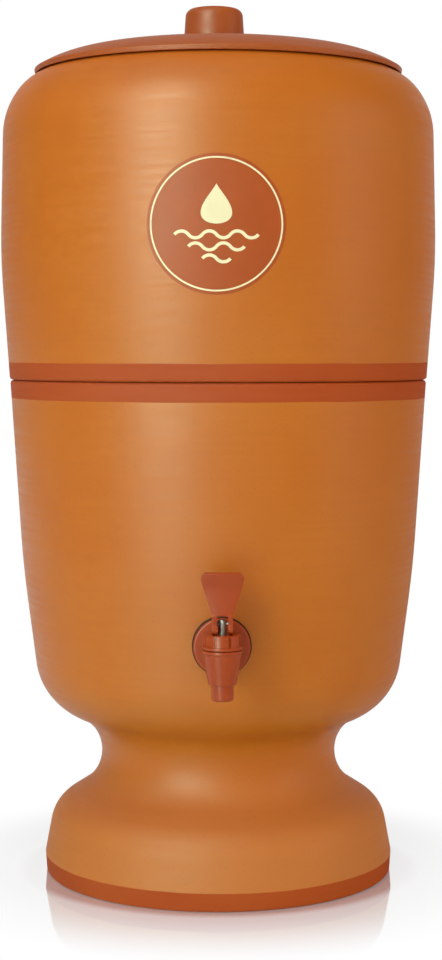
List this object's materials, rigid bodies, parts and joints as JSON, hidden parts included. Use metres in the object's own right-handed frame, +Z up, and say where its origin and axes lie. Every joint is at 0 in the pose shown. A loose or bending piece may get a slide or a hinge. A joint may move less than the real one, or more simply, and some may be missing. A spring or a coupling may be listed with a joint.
{
  "type": "clay water filter",
  "caption": "Gravity water filter of two stacked clay vessels on a pedestal foot, with lid, filter candle, float valve and lever tap.",
  "frame": {"origin": "on the floor at the middle of the footprint, whose depth runs from the tap's front to the upper vessel's back; the vessels' own axis stands 7.9 mm behind it", "axes": "+Z up; -Y to the front, where the tap is; +X to the right, seen from the front"},
  "size_m": [0.2496, 0.2655, 0.4945],
  "materials": {
    "clay": "unglazed fired clay, burnished",
    "lid_clay": "unglazed fired clay under red slip",
    "tap_plastic": "satin moulded plastic",
    "rubber": "matt",
    "white_plastic": "satin moulded plastic",
    "float_plastic": "satin moulded plastic",
    "candle_ceramic": "bare porous ceramic",
    "candle_fill": "granular carbon",
    "stem_steel": "bright drawn",
    "pin_steel": "bright drawn",
    "silicone": "soft, translucent"
  },
  "bodies": {
    "lower": {"lower_vessel": "clay", "tap_body": "tap_plastic", "tap_outer_gasket": "rubber", "tap_inner_gasket": "rubber", "tap_nut": "white_plastic", "tap_cap": "tap_plastic", "seat_cup": "silicone"},
    "stem": {"tap_stem": "stem_steel", "lever_pin": "pin_steel"},
    "lever": {"tap_lever": "tap_plastic"},
    "upper": {"upper_vessel": "clay", "candle_shell": "candle_ceramic", "candle_carbon": "candle_fill", "candle_base": "white_plastic", "candle_gasket": "rubber", "candle_washer": "rubber", "candle_nut": "white_plastic", "float_valve_body": "white_plastic", "float_pin": "pin_steel"},
    "float": {"float_arm": "white_plastic", "float_pad": "rubber", "float_top_shell": "float_plastic", "float_bottom_shell": "float_plastic"},
    "lid": {"lid": "lid_clay"}
  },
  "joints": [
    {"name": "lever_tilt", "type": "hinge", "parent": "stem", "child": "lever", "pos_m": [0, -0.1226, 0.1573], "axis": [1, 0, 0], "range_deg": [0, 40], "stiffness_Nm_per_rad": 0.2, "springref_deg": -5.73},
    {"name": "stem_lift", "type": "slide", "parent": "lower", "child": "stem", "axis": [0, 0, 1], "range_m": [0, 0.0025], "deforming": ["seat_cup"]},
    {"name": "upper_lift", "type": "slide", "parent": "lower", "child": "upper", "axis": [0, 0, 1], "range_m": [0, 0.14]},
    {"name": "float_swing", "type": "hinge", "parent": "upper", "child": "float", "pos_m": [0.0125, 0.00791, 0.2315], "axis": [0, 1, 0], "range_deg": [0, 25]},
    {"name": "lid_lift", "type": "slide", "parent": "upper", "child": "lid", "axis": [0, 0, 1], "range_m": [0, 0.12]}
  ],
  "couplings": [
    {"joint": "stem_lift", "follows": "lever_tilt", "m_per_rad": 0.0035}
  ]
}
